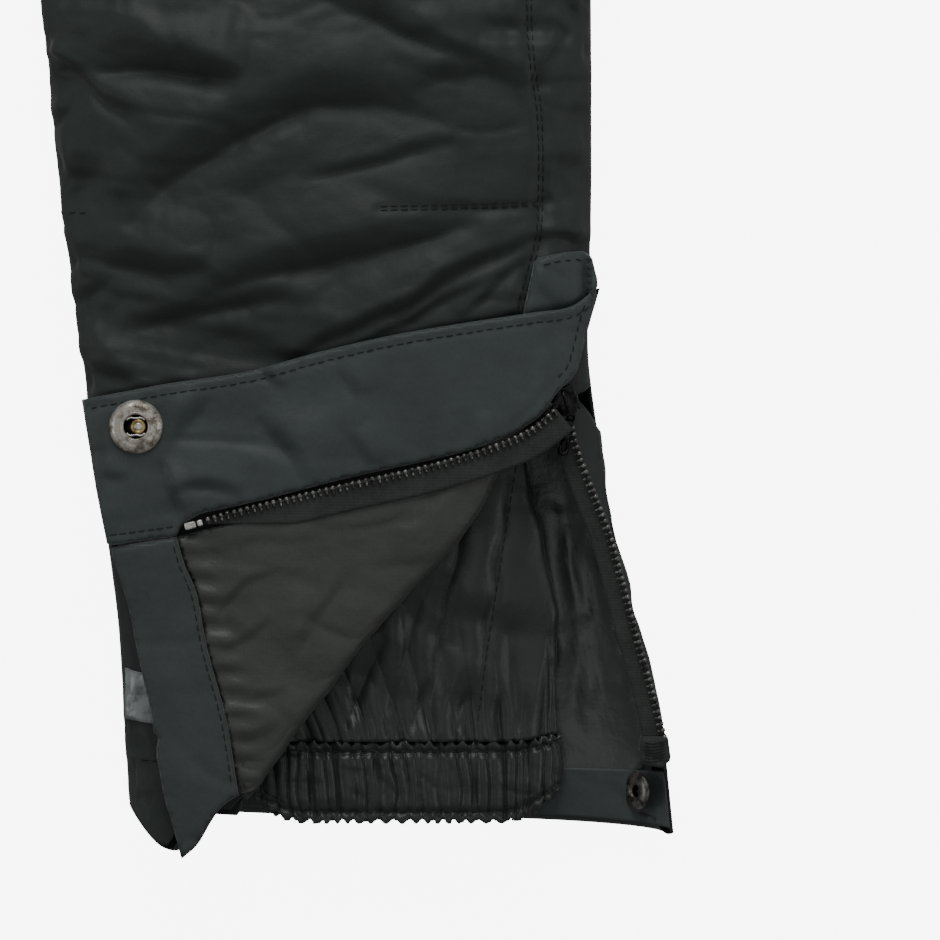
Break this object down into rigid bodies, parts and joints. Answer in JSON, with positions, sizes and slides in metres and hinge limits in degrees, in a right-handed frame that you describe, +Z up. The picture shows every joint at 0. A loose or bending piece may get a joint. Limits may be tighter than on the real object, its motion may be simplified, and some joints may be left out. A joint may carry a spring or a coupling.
{
  "type": "ski pants",
  "caption": "Child's padded ski pants laid flat, with one lower leg zip open, its corner and storm flap folded back, and a snow gaiter inside each leg.",
  "frame": {"origin": "middle of the bounding box, on the floor that the pants lie on", "axes": "+Y from the hems to the waist, +Z up from the back to the front, +X to the left leg as worn"},
  "size_m": [0.4588, 0.8012, 0.0396],
  "materials": {
    "shell_cloth": "dark green-grey woven nylon, satin, lightly padded",
    "lining_cloth": "dark taffeta lining, soft shine",
    "gaiter_cloth": "dark shiny taffeta",
    "filling": "soft polyester wadding",
    "elastic": "gathered elastic in a cloth tunnel",
    "reflective": "light grey reflective tape",
    "zip_tape": "black woven tape with black teeth",
    "dark_metal": "black painted metal",
    "old_nickel": "antique nickel, mottled"
  },
  "bodies": {
    "pants": {"belt_loop_back_left": "shell_cloth", "belt_loop_back_right": "shell_cloth", "belt_loop_front_left": "shell_cloth", "belt_loop_front_right": "shell_cloth", "fly_zip": "zip_tape", "left_back_hem_facing": "shell_cloth", "left_back_lining": "lining_cloth", "left_back_padding": "filling", "left_back_shell": "shell_cloth", "left_front_lining": "lining_cloth", "left_front_padding": "filling", "left_front_shell": "shell_cloth", "left_gaiter": "gaiter_cloth", "left_gaiter_elastic": "elastic", "left_pocket_zip": "zip_tape", "left_reflector": "reflective", "left_snap_stud": "old_nickel", "left_zip_back_half": "zip_tape", "right_back_lining": "lining_cloth", "right_back_padding": "filling", "right_back_shell": "shell_cloth", "right_front_lining": "lining_cloth", "right_front_padding": "filling", "right_front_shell": "shell_cloth", "right_gaiter": "gaiter_cloth", "right_gaiter_elastic": "elastic", "right_pocket_zip": "zip_tape", "right_reflector": "reflective", "right_snap_stud": "old_nickel", "right_zip": "zip_tape", "waist_elastic": "elastic", "waist_snap_stud": "old_nickel", "waistband_back": "shell_cloth", "waistband_front_left": "shell_cloth", "waistband_front_right": "shell_cloth"},
    "left_corner": {"left_corner_shell": "shell_cloth", "left_corner_lining": "lining_cloth", "left_hem_facing": "shell_cloth", "left_zip_front_half": "zip_tape", "left_zip_end_stop": "old_nickel"},
    "left_flap": {"left_storm_flap": "shell_cloth", "left_snap_socket": "old_nickel", "left_snap_cap": "old_nickel"},
    "left_slider": {"left_zip_slider": "dark_metal"},
    "left_pull": {"left_zip_pull": "dark_metal"},
    "right_flap": {"right_storm_flap": "shell_cloth", "right_snap_cap": "old_nickel"},
    "right_slider": {"right_zip_slider": "dark_metal"},
    "right_pull": {"right_zip_pull": "dark_metal"},
    "fly_slider": {"fly_zip_slider": "dark_metal"},
    "fly_pull": {"fly_zip_pull": "dark_metal"},
    "left_pocket_slider": {"left_pocket_zip_slider": "dark_metal"},
    "left_pocket_pull": {"left_pocket_zip_pull": "dark_metal"},
    "right_pocket_slider": {"right_pocket_zip_slider": "dark_metal"},
    "right_pocket_pull": {"right_pocket_zip_pull": "dark_metal"},
    "waist_closure": {"waist_closure_tab": "shell_cloth", "waist_snap_cap": "old_nickel"},
    "left_waist_adjuster": {"left_waist_tab": "shell_cloth"},
    "right_waist_adjuster": {"right_waist_tab": "shell_cloth"}
  },
  "joints": [
    {"name": "left_corner_fold", "type": "hinge", "parent": "pants", "child": "left_corner", "pos_m": [0.1965, -0.265, 0.0306], "axis": [-0.5592, -0.8287, -0.0249], "range_deg": [-170, 0]},
    {"name": "left_flap_lift", "type": "hinge", "parent": "left_corner", "child": "left_flap", "pos_m": [0.0586, -0.30564, 0.03398], "axis": [0.9653, 0.2612, 0.0078], "range_deg": [0, 150]},
    {"name": "left_zip_slide", "type": "slide", "parent": "pants", "child": "left_slider", "axis": [0.2803, -0.9575, -0.0674], "range_m": [0, 0.097]},
    {"name": "left_pull_lift", "type": "hinge", "parent": "left_slider", "child": "left_pull", "pos_m": [0.19798, -0.26909, 0.02697], "axis": [-0.9753, 0.2185, 0.0327], "range_deg": [0, 90]},
    {"name": "right_flap_lift", "type": "hinge", "parent": "pants", "child": "right_flap", "pos_m": [-0.17021, -0.3616, 0.03289], "axis": [0.1727, 0.9846, 0.0261], "range_deg": [0, 160]},
    {"name": "right_zip_slide", "type": "slide", "parent": "pants", "child": "right_slider", "axis": [0.1727, 0.9846, 0.0261], "range_m": [0, 0.098]},
    {"name": "right_pull_lift", "type": "hinge", "parent": "right_slider", "child": "right_pull", "pos_m": [-0.17872, -0.3702, 0.03061], "axis": [-0.9829, 0.174, -0.0601], "range_deg": [0, 100]},
    {"name": "fly_zip_slide", "type": "slide", "parent": "pants", "child": "fly_slider", "axis": [0, -0.9996, 0.0287], "range_m": [0, 0.138]},
    {"name": "fly_pull_lift", "type": "hinge", "parent": "fly_slider", "child": "fly_pull", "pos_m": [0, 0.35114, 0.03736], "axis": [-1, 0, 0], "range_deg": [0, 170]},
    {"name": "left_pocket_zip_slide", "type": "slide", "parent": "pants", "child": "left_pocket_slider", "axis": [0.3047, -0.9522, 0.0215], "range_m": [0, 0.112]},
    {"name": "left_pocket_pull_lift", "type": "hinge", "parent": "left_pocket_slider", "child": "left_pocket_pull", "pos_m": [0.10297, 0.32161, 0.03822], "axis": [-0.9513, -0.3031, 0.0563], "range_deg": [0, 170]},
    {"name": "right_pocket_zip_slide", "type": "slide", "parent": "pants", "child": "right_pocket_slider", "axis": [-0.3047, -0.9522, 0.0215], "range_m": [0, 0.112]},
    {"name": "right_pocket_pull_lift", "type": "hinge", "parent": "right_pocket_slider", "child": "right_pocket_pull", "pos_m": [-0.10297, 0.32161, 0.03822], "axis": [-0.9513, 0.3031, -0.0563], "range_deg": [0, 170]},
    {"name": "waist_closure_lift", "type": "hinge", "parent": "pants", "child": "waist_closure", "pos_m": [0.025, 0.3843, 0.03505], "axis": [0, 1, 0], "range_deg": [0, 150]},
    {"name": "left_waist_tab_lift", "type": "hinge", "parent": "pants", "child": "left_waist_adjuster", "pos_m": [0.1421, 0.38433, 0.02953], "axis": [-0.0015, 0.9998, -0.0201], "range_deg": [0, 120]},
    {"name": "right_waist_tab_lift", "type": "hinge", "parent": "pants", "child": "right_waist_adjuster", "pos_m": [-0.1421, 0.38433, 0.02953], "axis": [-0.0015, -0.9998, 0.0201], "range_deg": [0, 120]}
  ]
}
